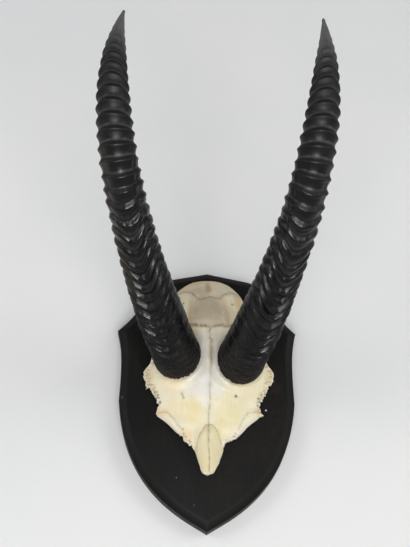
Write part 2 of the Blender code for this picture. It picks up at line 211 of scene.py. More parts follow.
# Furrows along the horn: their turn from its front in radians, and strength; then their width and depth.
FURROWS = ((0.95, 1.0), (-0.85, 0.8))
FURROW_WIDTH = 0.15
FURROW_DEPTH = 1.1
# The radius at which noise is wrapped round a horn, and the depth of the chips at its foot.
WRAP_RADIUS = 24
CHIP_DEPTH = 5.5
# The horn's foot is cut along its seat, and the cut's slope fades over this length.
BASE_BLEND = 75 * MM
CURVE_STEPS = 240
# Each horn's side, base centre, rise and outward swing in degrees at its base, middle and tip, and seed.
HORNS = {
    "left_horn": {"side": -1, "base": (-40.3 * MM, 36.7 * MM, 62 * MM), "rise": (73.4, 49.0, -14.0),
                  "swing": (60.5, 19.9, -10.3), "seed": 0.7},
    "right_horn": {"side": 1, "base": (40.5 * MM, 31.1 * MM, 62 * MM), "rise": (78.0, 53.6, -9.4),
                   "swing": (58.9, 19.9, -2.1), "seed": 2.3},
}
# Rows of vertices along a horn, and vertices in each row.
HORN_STATIONS = 660
HORN_ROUND = 144


def smooth_through(points):
    """A smooth curve through the points, as a function of an array; flat beyond both ends."""
    xs, ys = np.array(points, float).T
    before = np.maximum(np.arange(len(xs)) - 1, 0)
    after = np.minimum(np.arange(len(xs)) + 1, len(xs) - 1)
    slopes = (ys[after] - ys[before]) / (xs[after] - xs[before])

    def value(x):
        x = np.clip(x, xs[0], xs[-1])
        i = np.clip(np.searchsorted(xs, x, side="right") - 1, 0, len(xs) - 2)
        width = xs[i + 1] - xs[i]
        u = (x - xs[i]) / width
        return ((1 + 2 * u) * (1 - u) ** 2 * ys[i] + u * (1 - u) ** 2 * width * slopes[i]
                + u * u * (3 - 2 * u) * ys[i + 1] + u * u * (u - 1) * width * slopes[i + 1])

    return value


def smoothstep(low, high, x):
    """0 below low, 1 above high, and a smooth change between them."""
    u = np.clip((x - low) / (high - low), 0.0, 1.0)
    return u * u * (3 - 2 * u)


def noise(points, size, seed):
    """Smooth noise from -1 to 1 at an array of points; size is the width of one bump."""
    p = np.stack(points, -1) / size + seed * 13.7
    cell = np.floor(p).astype(np.int64)
    u = p - cell
    u = u * u * (3 - 2 * u)
    total = np.zeros(p.shape[:-1])
    for corner in itertools.product((0, 1), repeat=p.shape[-1]):
        mixed = np.full(total.shape, seed * 7919, np.int64)
        weight = np.ones_like(total)
        for axis, step in enumerate(corner):
            mixed = (mixed * 73856093 + (cell[..., axis] + step) * 19349663) & 0xFFFFFFFF
            mixed ^= mixed >> 15
            weight *= u[..., axis] if step else 1 - u[..., axis]
        mixed = (mixed * 2246822519) & 0xFFFFFFFF
        mixed ^= mixed >> 13
        total += weight * ((mixed & 0xFFFF) / 32767.5 - 1)
    return total


class Shader:
    """One material with its nodes; a socket or a plain value can go into any input."""

    def __init__(self, name):
        self.material = bpy.data.materials.new(name)
        self.material.use_nodes = True
        self.tree = self.material.node_tree
        self.surface = self.tree.nodes["Principled BSDF"]
        self.place = self.node("ShaderNodeTexCoord").outputs["Object"]

    def node(self, kind, inputs=None, **settings):
        """A new node with its settings and inputs."""
        made = self.tree.nodes.new(kind)
        for key, value in settings.items():
            setattr(made, key, value)
        for key, value in (inputs or {}).items():
            self.put(made.inputs[key], value)
        return made

    def put(self, socket, value):
        """Links a socket to an input, or sets the input's plain value."""
        if isinstance(value, bpy.types.NodeSocket):
            self.tree.links.new(value, socket)
        else:
            socket.default_value = value

    def set(self, **values):
        """Sets inputs of the surface, named in lower case with underscores."""
        for key, value in values.items():
            self.put(self.surface.inputs[key.replace("_", " ").title()], value)

    def attribute(self, name, output="Fac"):
        """A value that the mesh carries."""
        return self.node("ShaderNodeAttribute", attribute_name=name).outputs[output]

    def noise(self, scale, detail=4.0, roughness=0.55, vector=None, distortion=0.0):
        """Noise from 0 to 1 over the object, or over another vector."""
        inputs = {"Vector": vector or self.place, "Scale": scale, "Detail": detail, "Roughness": roughness,
                  "Distortion": distortion}
        return self.node("ShaderNodeTexNoise", inputs).outputs["Fac"]

    def stretch(self, vector, scale):
        """A vector multiplied by another, part by part."""
        return self.node("ShaderNodeVectorMath", {0: vector, 1: scale}, operation="MULTIPLY").outputs[0]

    def math(self, operation, a, b=0.0):
        """Arithmetic with two values, kept from 0 to 1."""
        return self.node("ShaderNodeMath", {0: a, 1: b}, operation=operation, use_clamp=True).outputs[0]

    def span(self, value, low, high, new_low=0.0, new_high=1.0):
        """A smooth change from new_low at low to new_high at high."""
        inputs = {"Value": value, "From Min": low, "From Max": high, "To Min": new_low, "To Max": new_high}
        return self.node("ShaderNodeMapRange", inputs, interpolation_type="SMOOTHSTEP").outputs["Result"]

    def mix(self, factor, a, b):
        """Colour a with a share of colour b over it."""
        made = self.node("ShaderNodeMix", data_type="RGBA")
        for index, value in ((0, factor), (6, a), (7, b)):
            self.put(made.inputs[index], value)
        return made.outputs[2]

    def bump(self, height, distance, strength=1.0, normal=None):
        """A normal tilted by a height, on top of another normal if one is given."""
        inputs = {"Height": height, "Distance": distance, "Strength": strength}
        if normal is not None:
            inputs["Normal"] = normal
        return self.node("ShaderNodeBump", inputs).outputs["Normal"]


def colour(red, green, blue):
    """A colour given as seen on screen, 0 to 255, as linear values."""
    return tuple((c / 255) ** 2.2 for c in (red, green, blue)) + (1.0,)


def make_piece(name, vertices, faces, material, node, attributes=None):
    """A smooth-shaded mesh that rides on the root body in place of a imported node."""
    mesh = bpy.data.meshes.new(name)
    mesh.from_pydata(vertices, [], faces)
    mesh.materials.append(material)
    for key, values in (attributes or {}).items():
        if values.ndim == 1:
            mesh.attributes.new(key, "FLOAT", "POINT").data.foreach_set("value", values.astype(np.float32))
        else:
            layer = mesh.attributes.new(key, "FLOAT_VECTOR", "POINT")
            layer.data.foreach_set("vector", values.astype(np.float32).ravel())
    mesh.validate()
    mesh.shade_smooth()
    piece = bpy.data.objects.new(name, mesh)
    bpy.context.collection.objects.link(piece)
    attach(piece, "root")
    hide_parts(node)
    return piece


def seat_height(horn, x, y):
    """Height of a horn's flat seat, carried on as a plane; everything in millimetres."""
    base = [c / MM for c in horn["base"]]
    return base[2] + SEAT_SLOPE_OUT * (x - base[0]) * horn["side"] + SEAT_SLOPE_UP * (y - base[1])


def distance_to_path(x, y, path):
    """Shortest distance from each point to an open path."""
    shortest = np.full(np.shape(x), np.inf)
    for (ax, ay), (bx, by) in zip(path, path[1:]):
        dx, dy = bx - ax, by - ay
        u = np.clip(((x - ax) * dx + (y - ay) * dy) / (dx * dx + dy * dy), 0, 1)
        shortest = np.minimum(shortest, np.hypot(x - ax - u * dx, y - ay - u * dy))
    return shortest


def inside_outline(x, y, outline):
    """Whether each point is inside a closed outline, by counting crossings."""
    inside = np.zeros(np.shape(x), bool)
    for (ax, ay), (bx, by) in zip(outline, np.roll(outline, -1, axis=0)):
        if ay != by:
            crossing = ((ay > y) != (by > y)) & (x < ax + (y - ay) / (by - ay) * (bx - ax))
            inside ^= crossing
    return inside


def fine_outline():
    """The skull's outline with its blunt corners rounded, fine steps and an uneven edge with wear."""
    points = [Vector(p) for p in SKULL_OUTLINE]
    for _ in range(2):
        rounded = []
        for i, corner in enumerate(points):
            before, after = points[i - 1], points[(i + 1) % len(points)]
            turn = (corner - before).angle(after - corner)
            if turn > math.radians(SHARP_TURN):
                rounded.append(corner)
            else:
                rounded += [corner.lerp(before, 0.25), corner.lerp(after, 0.25)]
        points = rounded
    fine = []
    for i, start in enumerate(points):
        end = points[(i + 1) % len(points)]
        pieces = max(1, round((end - start).length / OUTLINE_STEP))
        fine += [start.lerp(end, k / pieces) for k in range(pieces)]
    outline = np.array([tuple(p) for p in fine])
    along = np.roll(outline, -1, axis=0) - np.roll(outline, 1, axis=0)
    outward = np.stack([along[:, 1], -along[:, 0]], -1) / np.linalg.norm(along, axis=1)[:, None]
    x, y = outline.T
    ragged = smoothstep(55, 62, np.abs(x)) * smoothstep(-40, -32, y) * (1 - smoothstep(12, 22, y))
    ragged = np.maximum(ragged, smoothstep(-80, -76, y) * (1 - smoothstep(-64, -58, y)) * (np.abs(x) > 17))
    wear = noise((x, y), 5.0, 3) * 0.35 + noise((x, y), 1.7, 4) * (0.15 + 0.6 * ragged)
    wear -= 2.6 * ragged * np.maximum(0, noise((x, y), 1.9, 14) - 0.05)
    return outline + outward * wear[:, None]


def skull_plan():
    """The skull's plan: its points, the outline's first, its triangles, and the outline alone."""
    outline = fine_outline()
    rows = np.arange(*SKULL_ROWS, SKULL_STEP * math.sqrt(3) / 2)
    columns = np.arange(*SKULL_COLUMNS, SKULL_STEP)
    x, y = np.meshgrid(columns, rows)
    x = x + (np.arange(len(rows)) % 2)[:, None] * SKULL_STEP / 2
    x, y = x.ravel(), y.ravel()
    keep = inside_outline(x, y, outline)
    x, y = x[keep], y[keep]
    keep = distance_to_path(x, y, np.vstack([outline, outline[:1]])) > 0.5 * SKULL_STEP
    points = np.vstack([outline, np.stack([x[keep], y[keep]], -1)])
    border = list(range(len(outline)))
    plan = delaunay_2d_cdt([Vector(p) for p in points], [], [border], 1, 1e-6)
    return np.array([tuple(p) for p in plan[0]]), plan[2], outline


def skull_surface(x, y):
    """Height of the bone's upper surface in millimetres, before its seams, holes and wear."""
    ridge, drop, reach = (smooth_through(v) for v in (RIDGE_LINE, SIDE_DROP, SIDE_REACH))
    out = np.abs(x) / reach(y)
    z = ridge(y) - drop(y) * out ** SIDE_POWER
    tongue = np.maximum(0, 1 - (x / NASAL_HALF_WIDTH) ** 2)
    z += NASAL_RISE * (tongue - 0.5) * smoothstep(-NASAL_REAR, -NASAL_REAR + NASAL_FADE, -y) * (out < 1)
    for horn in HORNS.values():
        away = np.hypot(x - horn["base"][0] / MM, y - horn["base"][1] / MM)
        on_seat = 1 - smoothstep(SEAT_RADIUS + 0.1, SEAT_RADIUS + SEAT_BLEND, away)
        z += (seat_height(horn, x, y) - z) * on_seat
        collar = smoothstep(31.2, 33.5, away) * (1 - smoothstep(34.5, 42, away))
        z += collar * (0.4 + 0.4 * noise((x, y), 4.0, 5))
    return z


def cut_seams(x, y, z):
    """The surface with its seams, how dark and how stained they make it, and where the nasals are."""
    warped_x = x + 0.7 * noise((x, y), 3.2, 6) + 0.3 * noise((x, y), 1.4, 7)
    warped_y = y + 0.7 * noise((x, y), 3.2, 8) + 0.3 * noise((x, y), 1.4, 9)
    teeth = warped_y + 1.3 * np.abs((x / 2.9) % 1 * 2 - 1)
    nasal = np.minimum(*(distance_to_path(x, y, path) for path in NASAL_SEAMS))
    lacrimal = np.minimum(*(distance_to_path(warped_x, warped_y, path) for path in LACRIMAL_SEAMS))
    calm = 0.25 + 0.75 * smoothstep(20, 50, y)
    middle = distance_to_path(x + (warped_x - x) * calm, y, MIDLINE)
    coronal = distance_to_path(warped_x, teeth - 0.6, CORONAL_SEAM)
    lambdoid = distance_to_path(warped_x, warped_y, LAMBDOID_SEAM)
    seam, stain = np.zeros_like(x), np.zeros_like(x)
    faint = 0.5 + 0.4 * smoothstep(5, 35, -y) + 0.5 * smoothstep(18, 40, y)
    for distance, width, depth, dark, spread in (
        (nasal, 0.75, 0.5, 0.6, 0.15), (lacrimal, 0.8, 0.25, 0.45, 0.2), (middle, 0.8, 0.3, faint, 0.35),
        (coronal, 1.0, 0.4, 0.9, 0.6), (lambdoid, 1.1, 0.5, 1.0, 0.8),
    ):
        line = np.exp(-(distance / width) ** 2)
        seam = np.maximum(seam, line * dark)
        stain = np.maximum(stain, np.exp(-(distance / 3.2) ** 2) * spread)
        z -= depth * line
    left, right = NASAL_SEAMS
    nasals = inside_outline(x, y, np.array(left[:0:-1] + right + ((8, -115), (-10, -115))))
    z += 0.5 * nasals * (1 - np.exp(-(nasal / 2.0) ** 2)) * (1 - np.exp(-(middle / 3.0) ** 2))
    return z, seam, stain, nasals


def wear_surface(x, y, z, rim):
    """The surface with its holes, bitten rims and unevenness, and the painted shade in its holes, bitten rims
    and scratch.
    """
    hole_shade = np.zeros_like(x)
    for (hole_x, hole_y), radius, depth in HOLES:
        hole = np.exp(-(np.hypot(x - hole_x, y - hole_y) / radius) ** 2)
        hole_shade = np.maximum(hole_shade, hole)
        z -= depth * hole
    # The rims' worn zones, where they are bitten.
    wear_and_light_strip = smoothstep(56, 62, np.abs(x)) * smoothstep(-30, -24, y) * (1 - smoothstep(-9, -3, y))
    wear_and_light_strip = np.maximum(wear_and_light_strip, smoothstep(-80, -76, y) * (1 - smoothstep(-64, -58, y)) * (np.abs(x) > 19))
    bites = smoothstep(0.2, 0.6, noise((x / 2.4, y / 1.1), 1.0, 15)) * wear_and_light_strip * (1 - smoothstep(2.5, 5, rim))
    z -= 1.3 * bites
    hole_shade = np.maximum(hole_shade, 0.55 * bites)
    scratch = np.exp(-(distance_to_path(x, y, SCRATCH) / 1.1) ** 2)
    z -= 0.9 * scratch
    z += 0.5 * noise((x, y), 22.0, 10) + 0.22 * noise((x, y), 8.0, 11) + 0.06 * noise((x, y), 2.6, 12)
    z -= 1.1 * (1 - smoothstep(0, 1.8, rim)) ** 2
    return z, np.maximum(hole_shade, 0.45 * scratch)


def skull_underside(x, y, z, rim):
    """Height of the bone's underside: a plate's thickness down, and on the board along its middle."""
    core = smooth_through(CORE_HALF_WIDTH)(y) * ((y > CORE_HALF_WIDTH[0][0]) & (y < CORE_HALF_WIDTH[-1][0]))
    stands = 1 - smoothstep(core - 2, core + 3, np.abs(x))
    floor = (BOARD_THICKNESS + GAP) / MM
    under = z - PLATE_THICKNESS + 1.2 * (1 - smoothstep(0, 3, rim))
    return np.maximum(under + (floor - under) * stands, floor)


def make_skull():
    """The bone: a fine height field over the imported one, joined to its underside round the outline."""
    points, triangles, outline = skull_plan()
    x, y = points.T
    rim = distance_to_path(x, y, np.vstack([outline, outline[:1]]))
    z, seam, stain, nasals = cut_seams(x, y, skull_surface(x, y))
    z, hole_shade = wear_surface(x, y, z, rim)
    under = skull_underside(x, y, z, rim)

    count, edge = len(points), len(outline)
    vertices = np.vstack([np.stack([x, y, z], -1), np.stack([x, y, under], -1)]) * MM
    faces = [tuple(t) for t in triangles]
    faces += [(c + count, b + count, a + count) for a, b, c in triangles]
    faces += [(i + count, (i + 1) % edge + count, (i + 1) % edge, i) for i in range(edge)]
    band = np.exp(-(distance_to_path(x, y - 0.5, CORONAL_SEAM) / 2.2) ** 2)
    inset_line = smoothstep(1.0, 1.6, rim) * (1 - smoothstep(2.6, 3.6, rim))
    attributes = {
        "seam": seam,
        "stain": stain,
        "hole_shade": hole_shade,
        "rim": 1 - smoothstep(0.6, 1.8, rim),
        "coronal": band,
        "nasals": nasals.astype(float),
        "cut": inset_line * smoothstep(34, 40, -y) * (np.abs(x) > 21),
        "flaky": smoothstep(60, 66, np.abs(x)) * (1 - smoothstep(3, 9, rim)) * (y < 40),
    }
    attributes = {key: np.concatenate([values, 0 * values]) for key, values in attributes.items()}
    return make_piece("bone", vertices, faces, bone_material(), "skull_cap", attributes)


def bone_material():
    """Dry bone: ivory, whiter on the forehead, tan over the brain case, with stained seams."""
    s = Shader("dry_bone")
    xyz = s.node("ShaderNodeSeparateXYZ", {0: s.place}).outputs
    broad = s.noise(28, 3)
    middle = s.noise(75, 5, 0.65)
    fine = s.noise(420, 3)
    brushed = s.noise(300, 4, 0.6, s.stretch(s.place, (1, 0.18, 0.3)))

    def spot(centre, radii):
        """1 inside an ellipse on the plan, 0 outside, with a broad uneven edge."""
        moved = s.node("ShaderNodeVectorMath", {0: s.place, 1: (*(c * MM for c in centre), 0)},
                       operation="SUBTRACT").outputs[0]
        scaled = s.stretch(moved, tuple(1 / (r * MM) for r in radii) + (0,))
        length = s.node("ShaderNodeVectorMath", {0: scaled}, operation="LENGTH").outputs["Value"]
        uneven = s.node("ShaderNodeMath", {0: middle, 1: 1.8, 2: length}, operation="MULTIPLY_ADD").outputs[0]
        softness = 0.4 + 1.3 / min(radii)
        return s.span(uneven, 1.9 + softness, 1.9 - softness)

    def laid(tone, spots):
        for centre, radii, strength, shade in spots:
            tone = s.mix(s.math("MULTIPLY", spot(centre, radii), strength), tone, colour(*shade))
        return tone

    front = s.mix(s.span(broad, 0.35, 0.65), colour(224, 213, 176), colour(228, 220, 192))
    front = s.mix(s.math("MULTIPLY", s.attribute("nasals"), 0.7), front, colour(214, 200, 152))
    front = laid(front, FRONT_SPOTS)
    rear = s.mix(s.span(broad, 0.35, 0.65), colour(196, 182, 154), colour(206, 194, 168))
    rear = laid(rear, REAR_SPOTS)
    tone = s.mix(s.span(xyz["Y"], 70 * MM, 76 * MM), front, rear)
    mottled = s.span(middle, 0.35, 0.7, 0.0, 0.35)
    tone = s.mix(mottled, tone, s.mix(0.12, tone, colour(150, 118, 60)))
    tone = s.mix(s.span(brushed, 0.5, 0.75, 0.0, 0.4), tone, s.mix(0.16, tone, colour(140, 112, 70)))
    tone = s.mix(s.span(brushed, 0.46, 0.3, 0.0, 0.5), tone, s.mix(0.25, tone, colour(244, 240, 226)))
    flakes = s.noise(520, 3, 0.6, s.stretch(s.place, (0.35, 1, 0.5)))
    flaky = s.math("MULTIPLY", s.attribute("flaky"), s.span(flakes, 0.4, 0.62, 0.0, 0.75))
    tone = s.mix(flaky, tone, colour(150, 128, 94))
    streaks = s.noise(650, 2, vector=s.stretch(s.place, (1, 0.22, 0.3)))
    left = s.span(xyz["X"], 2 * MM, -3 * MM, 0.35, 1.0)
    teeth = s.math("MULTIPLY", s.attribute("coronal"), s.span(streaks, 0.42, 0.56, 0.25, 1.0))
    tone = s.mix(s.math("MULTIPLY", teeth, left), tone, colour(112, 88, 44))
    broken = s.span(s.noise(180, 3), 0.35, 0.6, 0.25, 0.9)
    tone = s.mix(s.math("MULTIPLY", s.attribute("seam"), broken), tone, colour(104, 86, 58))
    stained = s.math("MULTIPLY", s.attribute("stain"), s.span(fine, 0.3, 0.7, 0.3, 0.7))
    tone = s.mix(stained, tone, colour(170, 150, 112))
    tone = s.mix(s.math("MULTIPLY", s.attribute("cut"), 0.4), tone, colour(186, 174, 168))
    tone = s.mix(s.math("MULTIPLY", s.attribute("rim"), 0.55), tone, colour(238, 231, 212))
    tone = s.mix(s.math("MULTIPLY", s.span(fine, 0.62, 0.8), 0.3), tone, colour(190, 170, 130))
    # Painted shade: the holes, bitten rims and scratch are darkened to a deep brown.
    tone = s.mix(s.attribute("hole_shade"), tone, colour(48, 38, 26))
    normal = s.bump(s.noise(260, 4, 0.6), 0.25 * MM, 0.5)
    normal = s.bump(s.noise(1500, 2), 0.06 * MM, 0.5, normal)
    s.set(base_color=tone, roughness=s.span(middle, 0.3, 0.7, 0.42, 0.62), normal=normal,
          subsurface_weight=0.06, subsurface_scale=0.004)
    s.surface.inputs["Subsurface Radius"].default_value = (1.0, 0.7, 0.4)
    return s.material


def horn_centre_line(horn):
    """Points and directions along a horn, at even steps from its base to its tip."""
    t = np.linspace(0, 1, CURVE_STEPS + 1)

    def at(values):
        start, middle, end = values
        return np.radians(start * (1 - t) * (1 - 2 * t) + middle * 4 * t * (1 - t) + end * t * (2 * t - 1))

    rise, swing = at(horn["rise"]), at(horn["swing"]) * horn["side"]
    directions = np.stack([np.cos(rise) * np.sin(swing), np.cos(rise) * np.cos(swing), np.sin(rise)], -1)
    steps = (directions[1:] + directions[:-1]) * 0.5 * HORN_LENGTH / CURVE_STEPS
    return np.vstack([horn["base"], horn["base"] + np.cumsum(steps, axis=0)]), directions


def groove_places():
    """Where the grooves between the rings lie, from the base on."""
    spacing = smooth_through(RING_SPACING)
    places = [0.0, FIRST_GROOVE]
    while places[-1] < RINGS_END * HORN_LENGTH:
        places.append(places[-1] + float(spacing(places[-1] / HORN_LENGTH)) * MM)
    return np.array(places)


def horn_grid(horn):
    """Places on a horn's surface: stations along it and turns round it, with what is worked out from them."""
    stations = np.linspace(0, HORN_LENGTH, HORN_STATIONS + 1)[:-1]
    turns = np.linspace(0, 2 * math.pi, HORN_ROUND + 1)[:-1]
    along, angle = np.meshgrid(stations, turns, indexing="ij")
    share = along / HORN_LENGTH
    inner, front = -np.cos(angle) * horn["side"], -np.sin(angle)
    x, y = np.cos(angle), np.sin(angle)
    wrapped = (x * WRAP_RADIUS, y * WRAP_RADIUS, along / MM)
    number = round(horn["seed"] * 10)
    return SimpleNamespace(
        along=along, angle=angle, share=share, inner=inner, front=front, turn=np.arctan2(inner, front),
        x=x, y=y, wrapped=wrapped, number=number, lumps=noise(wrapped, 9.0, number + 1),
        grain=noise(wrapped, 3.2, number + 2), lower=1 - smoothstep(0.45, 0.75, share),
        lowest=1 - smoothstep(0.2, 0.42, share),
    )


def add_rings(grid):
    """Adds the rings to a horn's grid: each place's part of its ring, and how strong the ring is there."""
    grooves = groove_places()
    phase = np.interp(grid.along, grooves, np.arange(len(grooves)))
    wander = noise((grid.x * 1.7, grid.y * 1.7, phase * 0.9), 1.0, grid.number + 3)
    phase = phase + (0.03 + 0.11 * grid.lower) * wander
    grid.part = phase % 1.0
    grid.ring = np.floor(phase)
    grid.crest = smooth_through(RING_CREST)(grid.share)
    grid.sharp = smoothstep(0.42, 0.62, grid.share)
    begins = (24 + 4 * grid.front + 54 * smoothstep(0.15, 0.8, grid.inner)) * MM
    behind = np.maximum(0, -grid.front)
    grid.strength = smoothstep(begins - 14 * MM, begins + 26 * MM, grid.along) * (1 - 0.35 * behind)
    low_inside = smoothstep(0.2, 0.7, grid.inner) * (1 - smoothstep(0.2, 0.4, grid.share))
    grid.strength *= 1 - 0.6 * low_inside
    chance = noise((grid.x * 1.4, grid.y * 1.4, grid.ring * 3.1), 1.0, grid.number + 4)
    doubled = smoothstep(-0.2 - 0.5 * grid.lowest, 0.5 - 0.5 * grid.lowest, chance)
    grid.second = np.exp(-((grid.part - 0.42) / 0.085) ** 2) * doubled * grid.lower


def add_creases(grid):
    """Adds the folds across a horn's lower part and the furrows along its middle to its grid."""
    across = grid.along / MM / 5.0 + 0.55 * grid.lumps
    grid.folds = noise((grid.x * 1.2, grid.y * 1.2, across), 1.0, grid.number + 5)
    grid.creased = 1 - smoothstep(0.25, 0.5, grid.share)
    grid.creased *= 0.35 + 0.65 * smoothstep(0.05, 0.13, grid.share)
    grid.creased *= 1 - 0.6 * smoothstep(0.3, 0.8, grid.inner)
    furrow = sum(strength * np.exp(-((grid.turn - turn) / FURROW_WIDTH) ** 2) for turn, strength in FURROWS)
    fade = smoothstep(0.2, 0.36, grid.share) * (1 - smoothstep(0.58, 0.7, grid.share))
    grid.furrow = furrow * fade * (0.7 + 0.5 * grid.lumps)


def horn_relief(grid):
    """How far the surface stands out from a horn's plain radius, in millimetres."""
    part, crest, sharp, share = grid.part, grid.crest, grid.sharp, grid.share
    lower, lowest = grid.lower, grid.lowest
    rise = np.where(part < crest, part / crest, (1 - part) / (1 - crest))
    bulge = np.sin(math.pi / 2 * rise) ** 1.2 * (1 - 0.7 * lowest) + rise ** 1.7 * 0.7 * lowest
    whole = math.hypot(1, CREST_ROUNDING)
    pointed = (whole - np.hypot(1 - rise, CREST_ROUNDING)) / (whole - CREST_ROUNDING)
    bulge = (1 - sharp) * bulge + sharp * (0.18 + 0.9 * pointed ** 1.9)
    low_front = np.maximum(0, grid.front) * (1 - smoothstep(0.25, 0.45, share))
    deep = smooth_through(RING_DEPTH)(share) * grid.strength * (1 + 1.5 * low_front)
    size = deep * (bulge - 0.55)
    size -= deep * grid.second * (0.30 + 0.55 * lowest)
    size += deep * bulge * grid.lumps * (0.08 + lower * (0.16 + 0.2 * smoothstep(0.3, 0.8, grid.inner)))
    fold_height = 0.9 + 1.1 * (1 - smoothstep(0.14, 0.24, share))
    size += fold_height * (1 - np.abs(grid.folds)) ** 3 * grid.creased
    across = grid.along / MM / 2.7 + 0.8 * grid.lumps
    wrinkles = noise((grid.x * 3.0, grid.y * 3.0, across), 1.0, grid.number + 7)
    size += 0.7 * (1 - np.abs(wrinkles)) ** 3 * (1 - smoothstep(0.2, 0.4, share))
    size -= FURROW_DEPTH * grid.furrow
    size += (0.2 + 0.3 * (1 - smoothstep(0.06, 0.16, share))) * grid.grain * lower
    return size


def ring_lean(grid, seed):
    """How far the rings lean towards the tip at each place, in millimetres."""
    share, front, inner = grid.share, grid.front, grid.inner
    front_dip = smooth_through(FRONT_DIP)(share)
    lean = smooth_through(FRONT_LEAN)(share) * front + smooth_through(INNER_LEAN)(share) * inner
    lean += grid.lower * 0.8 * np.cos(grid.angle - 1.7 * grid.ring - seed) * smoothstep(0.1, 0.3, share)
    sideways = smoothstep(-0.3, 1.3, np.abs(grid.turn + 0.06)) * 2 - 1
    lean += front_dip * (np.maximum(sideways, -0.6) * 0.62 - 0.25)
    return lean


def horn_attributes(grid, side):
    """What a horn's material reads: its share of length, painted shade in grooves, folds and furrows, a
    painted light strip on the rings, and dirt.
    """
    part, crest, sharp, share = grid.part, grid.crest, grid.sharp, grid.share
    ringed = 1 - smoothstep(0.83, 0.91, share)
    # Painted shade in the grooves: a thin dark line beside each upper ring's pointed crest, the grooves and
    # tip-facing flanks of the lower rings, and the doubled rings, furrows and folds.
    under = np.exp(-((part - crest - 0.14) / 0.1) ** 2) * ringed
    groove_shade = np.maximum(smoothstep(crest + 0.14, 0.94, part), np.exp(-(part / 0.09) ** 2))
    groove_shade = (1 - sharp) * groove_shade + sharp * under
    groove_shade = np.maximum(np.maximum(groove_shade, 0.6 * grid.second) * grid.strength, 0.7 * grid.furrow)
    groove_shade = np.maximum(groove_shade, 0.6 * smoothstep(0.35, 0.8, np.abs(grid.folds)) * grid.creased)
    # Painted light: a pale strip on each ring's flank where light would catch it, just past the groove on the
    # lower rings and past the crest on the upper ones.
    wear_and_light_strip = (1 - sharp) * np.exp(-((part - 0.17) / 0.12) ** 2)
    wear_and_light_strip += sharp * np.exp(-((part - crest - 0.33) / 0.1) ** 2)
    wear_and_light_strip *= smoothstep(0.2, 0.75, share) * grid.strength * ringed
    soiled = smoothstep(0.35, 0.9, -grid.inner) * smoothstep(0.22, 0.32, share)
    soiled *= 1 - smoothstep(0.58, 0.7, share)
    soiled *= 1.3 if side < 0 else 0.3
    attributes = {"along": share, "groove_shade": groove_shade, "wear_and_light_strip": wear_and_light_strip, "soiled": soiled}
    attributes = {key: values.ravel() for key, values in attributes.items()}
    attributes["fibre"] = np.stack(grid.wrapped, -1).reshape(-1, 3) * MM
    return {key: np.concatenate([values, values[-2:]]) for key, values in attributes.items()}


def tube_faces(stations, turns):
    """Faces of a closed tube: its rows of vertices come first, then its tip and its base centre."""
    faces = []
    for i in range(stations - 1):
        start = i * turns
        for k in range(turns):
            j = (k + 1) % turns
            faces.append((start + k, start + j, start + turns + j, start + turns + k))
    last = (stations - 1) * turns
    tip, base = last + turns, last + turns + 1
    faces += [(last + k, last + (k + 1) % turns, tip) for k in range(turns)]
    faces += [((k + 1) % turns, k, base) for k in range(turns)]
    return faces


def make_horn(node, horn, material):
    """A horn: partly doubled rings with wear, between a rough base and a smooth tip."""
    line, directions = horn_centre_line(horn)
    radius = smooth_through(HORN_RADIUS)

    def centre(along):
        step = np.clip(along / HORN_LENGTH, 0, 1) * CURVE_STEPS
        place = np.stack([np.interp(step, np.arange(CURVE_STEPS + 1), c) for c in line.T], -1)
        way = np.stack([np.interp(step, np.arange(CURVE_STEPS + 1), c) for c in directions.T], -1)
        way /= np.linalg.norm(way, axis=-1, keepdims=True)
        return place + np.minimum(along, 0)[..., None] * directions[0], way

    def across(way, angle):
        side = np.array([1.0, 0, 0]) - way * way[..., :1]
        side /= np.linalg.norm(side, axis=-1, keepdims=True)
        return side * np.cos(angle)[..., None] + np.cross(way, side) * np.sin(angle)[..., None]

    grid = horn_grid(horn)
    add_rings(grid)
    add_creases(grid)
    along, angle, share = grid.along, grid.angle, grid.share
    moved = along + ring_lean(grid, horn["seed"]) * MM * np.minimum(1, along / BASE_BLEND)
    size = horn_relief(grid)
    size += radius(moved / HORN_LENGTH) - 1.3 * (1 - smoothstep(0, 3.0 * MM, along)) ** 2
    rounding = np.maximum(share - TIP_ROUNDING, 0) / (1 - TIP_ROUNDING)
    size *= np.sqrt(np.maximum(1 - rounding ** 2, 0.0004))

    first = directions[0]
    foot = horn["base"] + across(np.broadcast_to(first, (HORN_ROUND, 3)), angle[0]) * radius(0.0) * MM
    chips = np.maximum(0, noise((grid.x[0] * 13, grid.y[0] * 13), 1.0, grid.number + 6) - 0.15)
    wanted = seat_height(horn, foot[:, 0] / MM, foot[:, 1] / MM) * MM + GAP + CHIP_DEPTH * chips * MM
    climb = first[2] - SEAT_SLOPE_OUT * first[0] * horn["side"] - SEAT_SLOPE_UP * first[1]
    shift = (wanted - foot[:, 2]) / climb
    moved = moved + shift * np.maximum(0, 1 - along / BASE_BLEND) ** 2

    place, way = centre(moved)
    vertices = (place + across(way, angle) * (size * MM)[..., None]).reshape(-1, 3)
    vertices = np.vstack([vertices, centre(np.array([HORN_LENGTH]))[0], vertices[:HORN_ROUND].mean(axis=0)])
    faces = tube_faces(HORN_STATIONS, HORN_ROUND)
    return make_piece(node + "_sheath", vertices, faces, material, node, horn_attributes(grid, horn["side"]))


